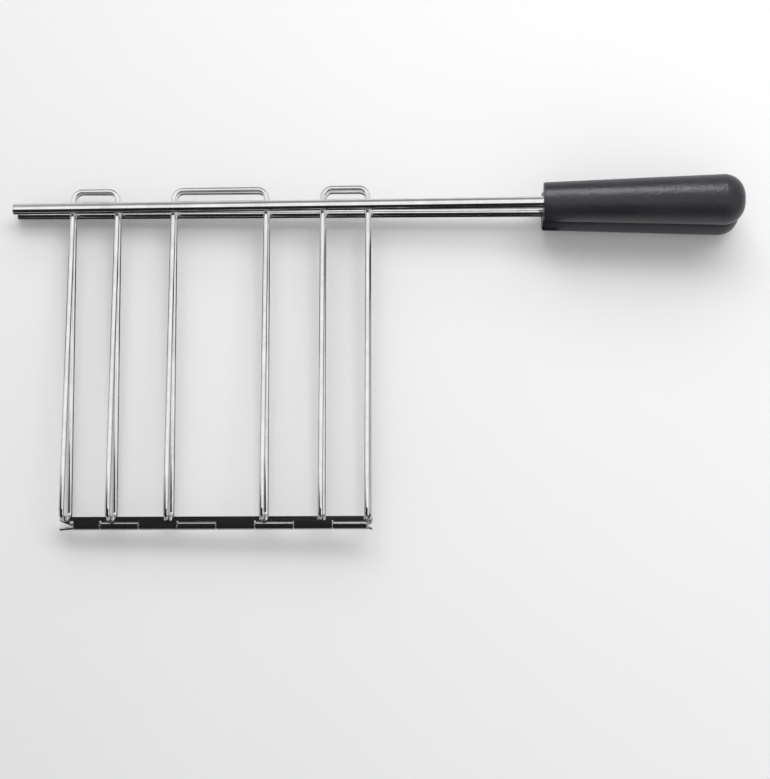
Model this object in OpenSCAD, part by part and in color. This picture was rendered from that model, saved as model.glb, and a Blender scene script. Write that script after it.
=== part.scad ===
// Sandwich toasting tongs, lying closed on their lower half.
// Two wire half cages swing on a piano hinge. Each half has three wire loops welded between
// a hinge leaf and a long round rod, and the rod ends in a moulded grip.
// X runs along the hinge pin towards the grips, Y from the pin towards the rods, and Z from
// the lower half up to the upper half. The halves mirror each other about the plane Z = 0.
// The origin is the middle of the closed tongs, in that plane.

/* [Hinge] */
// Length of the piano hinge
hinge_len = 132; // [118:1:145]
// Number of knuckles, shared in turn by the two leaves
knuckles = 8; // [6:2:12]
// Diameter of the hinge pin
pin_d = 1.8; // [1.4:0.1:2.2]
// Thickness of the leaf sheet
leaf_t = 0.75; // [0.6:0.05:0.9]
// Outer radius of the shoulder where a knuckle's sheet turns down beside the pin
shoulder_r = 0.8; // [0.6:0.05:1.2]
// Height of a leaf from the pin axis to its free edge
leaf_h = 3.9; // [3.6:0.1:5]
// Cut across the corners at the ends of a leaf's straight edge
leaf_corner = 1.4; // [0.4:0.1:1.6]
// Length of the crimped end at the left, on the upper leaf
left_crimp_len = 5.2; // [3:0.2:6]
// Length of the crimped end at the right, on the lower leaf
right_crimp_len = 2; // [1.6:0.2:4]
// Length over which a crimped barrel is pinched flat
crimp_neck = 0.7; // [0.4:0.1:1]
// Thickness of a crimp where it is pinched flat
crimp_t = 1.4; // [1:0.1:1.6]
// Distance that the left prongs stand out past the end of the hinge
left_prong_out = 0.9; // [0:0.1:1.4]
// Distance that the right prongs stand out past the end of the hinge
right_prong_out = 0.3; // [0:0.1:0.8]
// Height of the raised prong at the left above the pin axis
left_prong_up = 3.2; // [2:0.1:3.4]
// Depth of the lowered prong at the left below the pin axis
left_prong_down = 1.9; // [1.6:0.05:2]
// Width of a prong at its tip
prong_w = 1.1; // [0.8:0.1:1.2]
// Thickness of a prong at its tip
prong_t = 0.9; // [0.6:0.1:1]

/* [Wires] */
// Diameter of the cage wire
wire_d = 2.2; // [1.8:0.1:2.6]
// Distance between the two legs of an outer loop, on centres
side_loop_w = 19.6; // [14:0.2:24]
// Distance between the two legs of the middle loop, on centres
mid_loop_w = 40.6; // [32:0.2:44]
// Distance from the end of the hinge to the nearest leg, on its centre
edge_inset = 1.5; // [1.3:0.1:4]
// Height of the loop tops above the rods, on centres
loop_rise = 8.4; // [7.5:0.1:14]
// Radius of the loops' top corners, on the wire's centre line
corner_r = 4; // [3:0.5:6]
// Radius of the bend at the foot of each leg, on the wire's centre line
foot_bend_r = 3.5; // [2.5:0.1:4]
// Clear depth of the sandwich pocket at the hinge
pocket_depth = 15; // [13:0.5:22]
// Clear gap between the upper and lower wires at the first leg of the mouth
mouth_gap = 1.4; // [0.8:0.1:4]
// Width of the flattened foot that is welded to the leaf
foot_w = 3.6; // [3:0.1:4.4]
// Height of the flattened foot along the leaf
foot_h = 2.4; // [2:0.1:2.6]
// Thickness of the flattened foot
foot_t = 0.9; // [0.6:0.1:1.2]
// Height of a foot's top above the leaf's free edge
foot_over = 0.3; // [0:0.1:0.6]
// Loss of radius where a wire is stretched round a bend
bend_thinning = 0.02; // [0.01:0.01:0.04]
// Length by which a straight stretch of wire runs into its bends
bend_lap = 0.06; // [0.04:0.01:0.1]

/* [Rods] */
// Diameter of the rods
rod_d = 4.8; // [4:0.1:6]
// Distance from the pin axis to the rods, on centres
rod_h = 138; // [110:0.5:150]
// Length of rod beyond the hinge at the free end
rod_free_len = 24; // [10:1:40]
// Length of bare rod between the hinge's other end and the grip
rod_bare_len = 74.3; // [50:0.1:120]
// Chamfer on the free end of a rod
rod_chamfer = 0.4; // [0.2:0.1:0.8]

/* [Grips] */
// Length of a grip
grip_len = 85.7; // [70:0.1:110]
// Diameter of a grip where the rod enters
grip_root_d = 16.7; // [15:0.1:18.5]
// Diameter of a grip at its thick end
grip_end_d = 21.6; // [19:0.1:24]
// Radius of the rounded nose of a grip
grip_nose_r = 8.9; // [7:0.1:9.4]
// Distance from the rod's axis to the grip's inner flat, where the rod enters
grip_flat_dist = 7.95; // [7:0.05:8.1]
// Depth of the rod's socket in the grip
socket_len = 62; // [40:1:66]
// Chamfer on the grip's edge where the rod enters
grip_chamfer = 0.5; // [0.3:0.1:1]

/* [Fits] */
// Radial play of the pin in the knuckles
pin_play = 0.05; // [0.02:0.01:0.1]
// Gap between neighbouring knuckles
knuckle_gap = 0.3; // [0.2:0.05:0.5]
// Radial room between a leaf's straight edge and the other leaf's knuckles
leaf_room = 0.5; // [0.4:0.05:0.8]
// Room between a spread crimp and the other leaf's straight edge
crimp_room = 0.15; // [0.1:0.05:0.3]
// Depth to which a wire is sunk into a rod by its weld
weld_sink = 0.3; // [0.2:0.05:0.4]
// Gap between the grips' inner flats when the tongs are closed
grip_gap = 0.3; // [0.2:0.05:0.6]
// Gap between the end of the pin and the crimps
pin_end_gap = 0.3; // [0.2:0.05:0.6]

/* [Hidden] */
$fn = 48;
smooth_fn = 96;
hull_fn = 32;
sliver = 0.02;
overcut = 1;

steel_tint = [0.80, 0.80, 0.79];
grip_tint = [0.17, 0.17, 0.18];

// Radii
pin_r = pin_d / 2;
bore_r = pin_r + pin_play;
barrel_r = bore_r + leaf_t;
wire_r = wire_d / 2;
bend_wire_r = wire_r - bend_thinning;
rod_r = rod_d / 2;
grip_root_r = grip_root_d / 2;
grip_end_r = grip_end_d / 2;

// Hinge
pitch = hinge_len / knuckles;
strip_y = barrel_r + leaf_room;
corner_cut = min(leaf_corner, leaf_h - strip_y - sliver);
right_prong_spread = strip_y - crimp_room;
neck_half_h = barrel_r - leaf_t / 3;

// Wires: the foot lies against the upper part of the leaf's outer face
foot_y = leaf_h + foot_over - foot_h / 2;
leg_span = rod_h - foot_y - foot_bend_r;
leg_foot_z = pocket_depth / 2 + wire_r;
loop_middles = [
    edge_inset + side_loop_w / 2,
    hinge_len / 2,
    hinge_len - edge_inset - side_loop_w / 2
];
loop_widths = [side_loop_w, mid_loop_w, side_loop_w];

// Rods: each one leans away from the closing plane towards its grip
wire_to_rod = rod_r + wire_r - weld_sink;
first_z = mouth_gap / 2 + wire_r + wire_to_rod;
grip_x = hinge_len + rod_bare_len;
grip_z = grip_gap / 2 + grip_flat_dist;
rod_lean = atan((grip_z - first_z) / (grip_x - edge_inset));
free_end_x = -(rod_free_len + edge_inset) / cos(rod_lean);
root_x = (grip_x - edge_inset) / cos(rod_lean);

// Grip: the flank runs from the root's edge as a tangent to the round nose
nose_c = [grip_end_r - grip_nose_r, grip_len - grip_nose_r];
flank = nose_c - [grip_root_r, 0];
flank_turn = atan2(flank[1], flank[0]) - asin(grip_nose_r / norm(flank));
flank_end = nose_c + grip_nose_r * [sin(flank_turn), -cos(flank_turn)];

// Middle of the closed tongs
far_x = edge_inset + (root_x + grip_len) * cos(rod_lean);
top_y = rod_h + max(grip_end_r, loop_rise + wire_r);
bottom_y = -max(left_prong_down, right_prong_spread);
middle = [(far_x - rod_free_len) / 2, (top_y + bottom_y) / 2, 0];

function rod_z(x) = first_z + (x - edge_inset) * tan(rod_lean);

// Places a piece of the upper half, or its mirror image in the lower half
module half(side) {
    translate(-middle) mirror([0, 0, side == "lower" ? 1 : 0]) children();
}

// Frame of the upper rod: X along the rod from the first leg, the rod's axis at Y = Z = 0
module along_rod() {
    translate([edge_inset, rod_h, first_z]) rotate([0, -rod_lean, 0]) children();
}

// Cylinder along X
module bar_x(x0, x1, r) {
    translate([x0, 0, 0]) rotate([0, 90, 0]) cylinder(r = r, h = x1 - x0);
}

// Slab of the given thickness in Z, a sliver long in X and from y0 to y1 in Y
module slab(x, y0, y1, t) {
    translate([x, y0, -t / 2]) cube([sliver, y1 - y0, t]);
}

// Barrel end from x = 0 to x = -len, pinched flat and slit into two prongs that spread along Y
module crimp(len, up, down) {
    hull() {
        bar_x(-sliver, 0, barrel_r, $fn = hull_fn);
        slab(-crimp_neck, -neck_half_h, neck_half_h, crimp_t);
    }
    hull() {
        slab(-crimp_neck, 0, neck_half_h, crimp_t);
        slab(-len, up - prong_w, up, prong_t);
    }
    hull() {
        slab(-crimp_neck, -neck_half_h, 0, crimp_t);
        slab(-len, -down, prong_w - down, prong_t);
    }
}

// Shoulder of a knuckle, on the side away from its leaf: the rolled sheet runs straight past
// the pin there and then turns down beside it
module shoulder(low, high) {
    flat_len = barrel_r - shoulder_r;
    translate([low, 0, -barrel_r]) cube([high - low, flat_len, barrel_r]);
    translate([low, 0, -flat_len]) cube([high - low, barrel_r, flat_len]);
    translate([0, flat_len, -flat_len]) bar_x(low, high, shoulder_r);
}

// Upper leaf: a straight strip with every second knuckle rolled from it, starting from the
// given one, and with a crimp where a length is given for it
module leaf(first, low_crimp, high_crimp) {
    difference() {
        union() {
            translate([0, 0, barrel_r - leaf_t]) linear_extrude(leaf_t) polygon([
                [0, leaf_h],
                [0, strip_y + corner_cut],
                [corner_cut, strip_y],
                [hinge_len - corner_cut, strip_y],
                [hinge_len, strip_y + corner_cut],
                [hinge_len, leaf_h]
            ]);
            for (k = [first : 2 : knuckles - 1]) {
                low = k * pitch + (k == 0 ? low_crimp : knuckle_gap / 2);
                high = (k + 1) * pitch - (k == knuckles - 1 ? high_crimp : knuckle_gap / 2);
                bar_x(low, high, barrel_r);
                translate([low, 0, barrel_r - leaf_t]) cube([high - low, leaf_h, leaf_t]);
                shoulder(low, high);
            }
        }
        bar_x(low_crimp - overcut, hinge_len - high_crimp + overcut, bore_r);
    }
    if (low_crimp > 0) translate([low_crimp, 0, 0])
        crimp(low_crimp + left_prong_out, left_prong_up, left_prong_down);
    if (high_crimp > 0) translate([hinge_len - high_crimp, 0, 0]) mirror([1, 0, 0])
        crimp(high_crimp + right_prong_out, right_prong_spread, right_prong_spread);
}

module hinge_pin_body() {
    bar_x(left_crimp_len + pin_end_gap, hinge_len - right_crimp_len - pin_end_gap, pin_r);
}

// Flattened foot on the outer face of the leaf, with round ends
module foot(x) {
    end_r = foot_h / 2;
    reach = foot_w / 2 - end_r;
    translate([x, foot_y, barrel_r]) {
        for (s = [-1, 1]) translate([s * reach, 0, 0]) cylinder(r = end_r, h = foot_t);
        translate([-reach, -end_r, 0]) cube([2 * reach, foot_h, foot_t]);
    }
}

// Bend of a wire about Z, from the X axis through the given angle
module wire_bend(bend_r, angle) {
    rotate_extrude(angle = angle) translate([bend_r, 0]) circle(r = bend_wire_r);
}

// Straight stretch of wire along Y, run into the bends at its ends
module straight(y0, y1, low_lap = bend_lap, high_lap = bend_lap) {
    translate([0, y0 - low_lap, 0]) rotate([-90, 0, 0])
        cylinder(r = wire_r, h = y1 - y0 + low_lap + high_lap);
}

// Leg of a loop with the bend below it and the run from there to the foot.
// Its own frame has the leg's lower end at the origin and the leg along Y.
module leg(len, tilt, run) {
    straight(0, len);
    translate([0, 0, -foot_bend_r]) rotate(a = 180, v = [1, 0, 1]) {
        wire_bend(foot_bend_r, 90 + tilt);
        rotate([0, 0, 90 + tilt]) translate([foot_bend_r, 0, 0]) straight(0, run, high_lap = 0);
    }
}

// One wire loop of the upper half: two legs, a top bar with round corners, and two feet.
// The loop's own frame has its crossing with the rod at the origin and the legs in Z = 0.
module wire_loop(index) {
    mid = loop_middles[index];
    w = loop_widths[index];
    cross_z = rod_z(mid) - wire_to_rod;
    tilt = atan((leg_foot_z - cross_z) / leg_span);
    below = (leg_span - foot_bend_r * sin(tilt)) / cos(tilt);
    above = loop_rise - corner_r;
    bend_end_z = cross_z + below * sin(tilt) - foot_bend_r * cos(tilt);

    translate([mid, rod_h, cross_z]) rotate([0, -rod_lean, 0]) rotate([-tilt, 0, 0]) {
        translate([0, loop_rise, 0]) rotate([0, 0, -90]) straight(corner_r - w / 2, w / 2 - corner_r);
        for (s = [-1, 1]) mirror([s < 0 ? 1 : 0, 0, 0]) {
            translate([w / 2 - corner_r, above, 0]) wire_bend(corner_r, 90);
            translate([w / 2, -below, 0]) leg(
                below + above, tilt,
                bend_end_z + s * w / 2 * sin(rod_lean) - barrel_r - foot_t / 2
            );
        }
    }
    for (s = [-1, 1]) foot(mid + s * w / 2 * cos(rod_lean));
}

// Upper rod, chamfered at its free end, with its other end in the grip's socket
module rod() {
    along_rod() rotate([0, 90, 0]) rotate_extrude() polygon([
        [0, free_end_x],
        [rod_r - rod_chamfer, free_end_x],
        [rod_r, free_end_x + rod_chamfer],
        [rod_r, root_x + socket_len],
        [0, root_x + socket_len]
    ]);
}

// Outline of a grip in its radius and its length from the root
module grip_outline() {
    polygon([
        [0, 0],
        [grip_root_r - grip_chamfer, 0],
        [grip_root_r, grip_chamfer],
        flank_end,
        nose_c,
        [nose_c[0], grip_len],
        [0, grip_len]
    ]);
    intersection() {
        translate(nose_c) circle(r = grip_nose_r, $fn = smooth_fn);
        square([grip_end_d, grip_len + overcut]);
    }
}

// Upper grip: a round taper with a blunt nose, flat on the side that meets the other grip
module grip() {
    difference() {
        along_rod() translate([root_x, 0, 0]) rotate([0, 90, 0]) difference() {
            rotate_extrude($fn = smooth_fn) grip_outline();
            translate([0, 0, -overcut]) cylinder(r = rod_r, h = socket_len + overcut);
        }
        translate([grip_x - overcut, rod_h - grip_end_d, grip_gap / 2 - grip_end_d])
            cube([grip_len + 2 * overcut, 2 * grip_end_d, grip_end_d]);
    }
}

module lower_leaf() { color(steel_tint) half("lower") leaf(1, 0, right_crimp_len); }
module upper_leaf() { color(steel_tint) half("upper") leaf(0, left_crimp_len, 0); }
module hinge_pin() { color(steel_tint) half("lower") hinge_pin_body(); }
module lower_left_wire() { color(steel_tint) half("lower") wire_loop(0); }
module lower_middle_wire() { color(steel_tint) half("lower") wire_loop(1); }
module lower_right_wire() { color(steel_tint) half("lower") wire_loop(2); }
module upper_left_wire() { color(steel_tint) half("upper") wire_loop(0); }
module upper_middle_wire() { color(steel_tint) half("upper") wire_loop(1); }
module upper_right_wire() { color(steel_tint) half("upper") wire_loop(2); }
module lower_rod() { color(steel_tint) half("lower") rod(); }
module upper_rod() { color(steel_tint) half("upper") rod(); }
module lower_grip() { color(grip_tint) half("lower") grip(); }
module upper_grip() { color(grip_tint) half("upper") grip(); }

lower_leaf();
upper_leaf();
hinge_pin();
lower_left_wire();
lower_middle_wire();
lower_right_wire();
upper_left_wire();
upper_middle_wire();
upper_right_wire();
lower_rod();
upper_rod();
lower_grip();
upper_grip();
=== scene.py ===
"""Sandwich toasting tongs: polished wire cage halves on a rolled piano hinge, with moulded grips.

The pieces are built in millimetres in the maker's frame, where X runs along the hinge pin from its left end,
Y runs from the pin towards the rods and Z runs from the lower half up to the upper half. The lower half is
the mirror image of the upper one, apart from the knuckles and the end of its hinge leaf.
"""
import logging
import math
from collections.abc import Sequence
from dataclasses import dataclass, field
from enum import Enum

import bmesh
import bpy
from mathutils import Matrix, Vector, noise


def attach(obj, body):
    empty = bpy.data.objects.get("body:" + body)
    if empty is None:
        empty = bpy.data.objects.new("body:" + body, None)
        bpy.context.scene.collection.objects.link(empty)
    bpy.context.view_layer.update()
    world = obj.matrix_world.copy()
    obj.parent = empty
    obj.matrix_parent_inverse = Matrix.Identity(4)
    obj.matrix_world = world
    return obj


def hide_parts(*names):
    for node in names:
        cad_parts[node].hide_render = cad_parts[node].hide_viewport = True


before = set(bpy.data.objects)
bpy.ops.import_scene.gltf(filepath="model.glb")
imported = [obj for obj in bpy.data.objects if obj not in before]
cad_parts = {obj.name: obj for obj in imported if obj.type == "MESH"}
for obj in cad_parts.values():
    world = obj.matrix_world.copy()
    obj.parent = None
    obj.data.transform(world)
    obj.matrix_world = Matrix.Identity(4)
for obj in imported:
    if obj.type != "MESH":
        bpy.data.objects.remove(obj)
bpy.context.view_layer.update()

LOG = logging.getLogger("tongs")
MM = 0.001

Ring = list[Vector]
Colour = tuple[float, float, float]


class Side(Enum):
    """The two halves of the tongs."""

    UPPER = 1
    LOWER = -1

    @property
    def body(self) -> str:
        """Name of the body that the half belongs to."""
        return f"{self.word}_half"

    @property
    def word(self) -> str:
        """The half's name in plain words."""
        return self.name.lower()


class Place(Enum):
    """The three wire loops of a half, from the free end to the grips."""

    LEFT = 0
    MIDDLE = 1
    RIGHT = 2

    @property
    def word(self) -> str:
        """The loop's name in plain words."""
        return self.name.lower()


@dataclass(frozen=True)
class Layout:
    """Driving sizes of the tongs in millimetres, and the places that follow from them."""

    hinge_len: float = 132.0
    knuckles: int = 8
    pin_d: float = 1.8
    pin_play: float = 0.05
    leaf_t: float = 0.75
    shoulder_r: float = 0.8
    leaf_h: float = 3.9
    leaf_corner: float = 1.4
    leaf_room: float = 0.5
    knuckle_gap: float = 0.3
    left_crimp_len: float = 5.2
    right_crimp_len: float = 2.0
    crimp_neck: float = 0.7
    crimp_t: float = 1.4
    crimp_room: float = 0.15
    left_prong_out: float = 0.9
    right_prong_out: float = 0.3
    left_prong_up: float = 3.2
    left_prong_down: float = 1.9
    prong_w: float = 1.1
    prong_t: float = 0.9
    wire_d: float = 2.2
    side_loop_w: float = 19.6
    mid_loop_w: float = 40.6
    edge_inset: float = 1.5
    loop_rise: float = 8.4
    corner_r: float = 4.0
    foot_bend_r: float = 3.5
    pocket_depth: float = 15.0
    mouth_gap: float = 1.4
    foot_w: float = 3.6
    foot_h: float = 2.4
    foot_t: float = 0.9
    foot_over: float = 0.3
    weld_sink: float = 0.3
    rod_d: float = 4.8
    rod_h: float = 138.0
    rod_free_len: float = 24.0
    rod_bare_len: float = 74.3
    socket_len: float = 62.0
    grip_len: float = 85.7
    grip_root_d: float = 16.7
    grip_end_d: float = 21.6
    grip_nose_r: float = 8.9
    grip_flat_dist: float = 7.95
    grip_gap: float = 0.3

    @property
    def bore_r(self) -> float:
        """Inner radius of a knuckle."""
        return self.pin_d / 2 + self.pin_play

    @property
    def barrel_r(self) -> float:
        """Outer radius of a knuckle."""
        return self.bore_r + self.leaf_t

    @property
    def strip_y(self) -> float:
        """Height at which a leaf's straight strip starts, clear of the other leaf's knuckles."""
        return self.barrel_r + self.leaf_room

    @property
    def right_prong_spread(self) -> float:
        """Distance from the pin axis to the outer edge of each prong at the right."""
        return self.strip_y - self.crimp_room

    @property
    def neck_half_h(self) -> float:
        """Half height of a crimp where it is pinched flat."""
        return self.barrel_r - self.leaf_t / 3

    @property
    def wire_r(self) -> float:
        """Radius of the cage wire."""
        return self.wire_d / 2

    @property
    def rod_r(self) -> float:
        """Radius of a rod."""
        return self.rod_d / 2

    @property
    def foot_y(self) -> float:
        """Height of the middle of a wire's flattened foot."""
        return self.leaf_h + self.foot_over - self.foot_h / 2

    @property
    def wire_to_rod(self) -> float:
        """Distance from a wire's centre to its rod's centre where they are welded."""
        return self.rod_r + self.wire_r - self.weld_sink

    @property
    def first_z(self) -> float:
        """Height of the rod's centre over the first leg, above the closing plane."""
        return self.mouth_gap / 2 + self.wire_r + self.wire_to_rod

    @property
    def grip_x(self) -> float:
        """Place of the grip's root along the hinge's direction."""
        return self.hinge_len + self.rod_bare_len

    @property
    def lean(self) -> float:
        """Angle by which a rod leans away from the closing plane towards its grip."""
        rise = self.grip_gap / 2 + self.grip_flat_dist - self.first_z
        return math.atan(rise / (self.grip_x - self.edge_inset))

    @property
    def root_x(self) -> float:
        """Distance along the rod from the first leg to the grip's root."""
        return (self.grip_x - self.edge_inset) / math.cos(self.lean)

    @property
    def free_end_x(self) -> float:
        """Distance along the rod from the first leg to the rod's free end, which is negative."""
        return -(self.rod_free_len + self.edge_inset) / math.cos(self.lean)

    @property
    def middle(self) -> Vector:
        """Middle of the closed tongs, which is the origin of the shared frame."""
        far_x = self.edge_inset + (self.root_x + self.grip_len) * math.cos(self.lean)
        top_y = self.rod_h + max(self.grip_end_d / 2, self.loop_rise + self.wire_r)
        bottom_y = -max(self.left_prong_down, self.right_prong_spread)
        return Vector(((far_x - self.rod_free_len) / 2, (top_y + bottom_y) / 2, 0))

    @property
    def along_rod(self) -> Matrix:
        """Place of the upper rod: its first leg is at the origin and its axis along X."""
        start = Matrix.Translation((self.edge_inset, self.rod_h, self.first_z))
        return start @ Matrix.Rotation(-self.lean, 4, "Y")

    def rod_z(self, x: float) -> float:
        """Height of the upper rod's centre above the closing plane at x."""
        return self.first_z + (x - self.edge_inset) * math.tan(self.lean)

    def loop_width(self, place: Place) -> float:
        """Distance between a loop's two legs."""
        return self.mid_loop_w if place is Place.MIDDLE else self.side_loop_w

    def loop_middle(self, place: Place) -> float:
        """Place of a loop's middle along the hinge."""
        inset = self.edge_inset + self.side_loop_w / 2
        middles = {Place.LEFT: inset, Place.MIDDLE: self.hinge_len / 2, Place.RIGHT: self.hinge_len - inset}
        return middles[place]

    def legs(self) -> list[float]:
        """Place of each leg along X, in metres in the shared frame."""
        hands = [(place, hand) for place in Place for hand in (-1, 1)]
        return [(self.loop_middle(p) + h * self.loop_width(p) / 2 - self.middle.x) * MM for p, h in hands]


@dataclass
class MeshDraft:
    """Points and faces of one piece of the upper half, gathered in millimetres in the maker's frame."""

    points: list[Vector] = field(default_factory=list)
    faces: list[tuple[int, ...]] = field(default_factory=list)

    def add_points(self, points: Sequence[Vector]) -> list[int]:
        """Add loose points.

        Args:
            points: the points to add.

        Returns:
            Their indices.
        """
        start = len(self.points)
        self.points.extend(Vector(p) for p in points)
        return list(range(start, len(self.points)))

    def add_tube(self, rings: Sequence[Ring]) -> None:
        """Join rings of the same number of points into one closed skin with a fan at each end.

        Args:
            rings: the rings in order.
        """
        ids = [self.add_points(ring) for ring in rings]
        sides = len(ids[0])
        for low, high in zip(ids, ids[1:]):
            for k in range(sides):
                n = (k + 1) % sides
                self.faces.append((low[k], low[n], high[n], high[k]))
        for ring, first in ((ids[0], True), (ids[-1], False)):
            centre = sum((self.points[i] for i in ring), Vector()) / sides
            hub = self.add_points([centre])[0]
            for k in range(sides):
                edge = (ring[k], ring[(k + 1) % sides])
                self.faces.append((hub, *reversed(edge)) if first else (hub, *edge))

    def to_object(self, name: str, side: Side, layout: Layout, sharp_deg: float = 35.0) -> bpy.types.Object:
        """Turn the draft into a Blender object in the shared frame.

        Args:
            name: the piece's name.
            side: the half that it belongs to; the lower one is mirrored.
            layout: the sizes that place the maker's frame in the shared one.
            sharp_deg: edges that turn by more than this stay sharp.

        Returns:
            The new object.
        """
        middle = layout.middle
        corners = [(p - middle) * MM for p in self.points]
        mesh = bpy.data.meshes.new(name)
        mesh.from_pydata([(p.x, p.y, p.z * side.value) for p in corners], [], self.faces)
        skin = bmesh.new()
        skin.from_mesh(mesh)
        bmesh.ops.recalc_face_normals(skin, faces=skin.faces)
        skin.to_mesh(mesh)
        skin.free()
        mesh.shade_smooth()
        mesh.set_sharp_from_angle(angle=math.radians(sharp_deg))
        piece = bpy.data.objects.new(name, mesh)
        bpy.context.scene.collection.objects.link(piece)
        return piece


def superoval(half_a: float, half_b: float, power: float, sides: int) -> list[tuple[float, float]]:
    """Outline of a superellipse, evenly spaced in its angle.

    Args:
        half_a: half width.
        half_b: half height.
        power: 2 gives an ellipse, and more gives squarer corners.
        sides: number of points.

    Returns:
        The outline's points.
    """
    outline = []
    for k in range(sides):
        turn = 2 * math.pi * k / sides
        c, s = math.cos(turn), math.sin(turn)
        outline.append((
            half_a * math.copysign(abs(c) ** (2 / power), c),
            half_b * math.copysign(abs(s) ** (2 / power), s),
        ))
    return outline


def mixed(one: Sequence[tuple[float, float]], other: Sequence[tuple[float, float]], share: float) -> list[tuple[float, float]]:
    """Outline part of the way from one to the other."""
    return [(a + (c - a) * share, b + (d - b) * share) for (a, b), (c, d) in zip(one, other)]


def sweep(path: Sequence[Vector], outlines: Sequence[Sequence[tuple[float, float]]], across: Vector) -> list[Ring]:
    """Rings of an outline carried along a path without twist.

    Args:
        path: points of the centre line.
        outlines: one outline for each point of the path.
        across: direction of the outlines' first axis at the start.

    Returns:
        One ring for each point of the path.
    """
    rings = []
    side = across.normalized()
    for k, centre in enumerate(path):
        ahead = path[min(k + 1, len(path) - 1)] - path[max(k - 1, 0)]
        ahead.normalize()
        side = (side - ahead * side.dot(ahead)).normalized()
        up = ahead.cross(side)
        rings.append([centre + side * a + up * b for a, b in outlines[k]])
    return rings


def arc(centre: Vector, spoke: Vector, axis: Vector, angle: float, steps: int) -> Ring:
    """Points along an arc, both ends included.

    Args:
        centre: centre of the arc.
        spoke: vector from the centre to the start.
        axis: axis of the turn.
        angle: angle of the turn in radians.
        steps: number of equal steps.

    Returns:
        The arc's points.
    """
    return [centre + Matrix.Rotation(angle * k / steps, 3, axis) @ spoke for k in range(steps + 1)]


def smooth_min(a: float, b: float, reach: float) -> float:
    """The smaller of two lengths, blended where they are within reach of each other."""
    share = min(max(0.5 + 0.5 * (b - a) / reach, 0.0), 1.0)
    return b + (a - b) * share - reach * share * (1 - share)


class Recipe:
    """Node tree of one material while it is put together."""

    def __init__(self, name: str) -> None:
        """Start a material with a Principled shader on its output.

        Args:
            name: the material's name.
        """
        self.material = bpy.data.materials.new(name)
        self.material.use_nodes = True
        self.tree = self.material.node_tree
        self.tree.nodes.clear()
        self.output = self.tree.nodes.new("ShaderNodeOutputMaterial")
        self.shader = self.tree.nodes.new("ShaderNodeBsdfPrincipled")
        self.tree.links.new(self.shader.outputs["BSDF"], self.output.inputs["Surface"])

    def set(self, **values: float | tuple[float, ...]) -> None:
        """Set constants on the shader's own sockets, with underscores for the spaces in their names."""
        for socket, value in values.items():
            self.shader.inputs[socket.replace("_", " ")].default_value = value

    def node(self, kind: str, **values: object) -> bpy.types.ShaderNode:
        """Add a node.

        Args:
            kind: the node's type.
            values: properties of the node, or values of its inputs with underscores for spaces.

        Returns:
            The node.
        """
        made = self.tree.nodes.new(kind)
        for key, value in values.items():
            if hasattr(made, key):
                setattr(made, key, value)
            else:
                made.inputs[key.replace("_", " ")].default_value = value
        return made

    def link(self, out: bpy.types.NodeSocket, into: bpy.types.NodeSocket) -> None:
        """Join two sockets."""
        self.tree.links.new(out, into)

    def place(self, scale: tuple[float, float, float]) -> bpy.types.NodeSocket:
        """Coordinates in the piece's own frame, stretched by a scale along each axis."""
        where = self.node("ShaderNodeTexCoord")
        stretch = self.node("ShaderNodeMapping", Scale=scale)
        self.link(where.outputs["Object"], stretch.inputs["Vector"])
        return stretch.outputs["Vector"]

    def grain(self, scale: tuple[float, float, float], detail: float = 3.0, rough: float = 0.55) -> bpy.types.NodeSocket:
        """Noise from 0 to 1 whose grains are one over the scale long along each axis.

        Args:
            scale: grains in a metre along each axis.
            detail: octaves of finer noise.
            rough: strength of the finer octaves.

        Returns:
            The noise's output.
        """
        made = self.node("ShaderNodeTexNoise", Scale=1.0, Detail=detail, Roughness=rough)
        self.link(self.place(scale), made.inputs["Vector"])
        return made.outputs["Fac"]

    def ranged(self, value: bpy.types.NodeSocket, low: float, high: float, to_low: float, to_high: float) -> bpy.types.NodeSocket:
        """Carry a value from one range to another, and hold it there.

        Args:
            value: the value to carry over.
            low: start of the range that it comes from.
            high: end of that range.
            to_low: what low becomes.
            to_high: what high becomes.

        Returns:
            The new value.
        """
        made = self.node(
            "ShaderNodeMapRange", From_Min=low, From_Max=high, To_Min=to_low, To_Max=to_high, clamp=True
        )
        self.link(value, made.inputs["Value"])
        return made.outputs["Result"]

    def blend(self, share: bpy.types.NodeSocket, one: Colour, other: Colour) -> bpy.types.NodeSocket:
        """Colour that goes from one to the other with a share."""
        made = self.node("ShaderNodeMix", data_type="RGBA")
        made.inputs[6].default_value = (*one, 1)
        made.inputs[7].default_value = (*other, 1)
        self.link(share, made.inputs[0])
        return made.outputs[2]

    def bump(self, heights: Sequence[tuple[bpy.types.NodeSocket, float]]) -> None:
        """Chain height maps into the shader's normal.

        Args:
            heights: each map with the depth in metres that its full range stands for.
        """
        last = None
        for height, depth in heights:
            made = self.node("ShaderNodeBump", Strength=1.0, Distance=depth)
            self.link(height, made.inputs["Height"])
            if last is not None:
                self.link(last, made.inputs["Normal"])
            last = made.outputs["Normal"]
        if last is not None:
            self.link(last, self.shader.inputs["Normal"])


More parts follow.
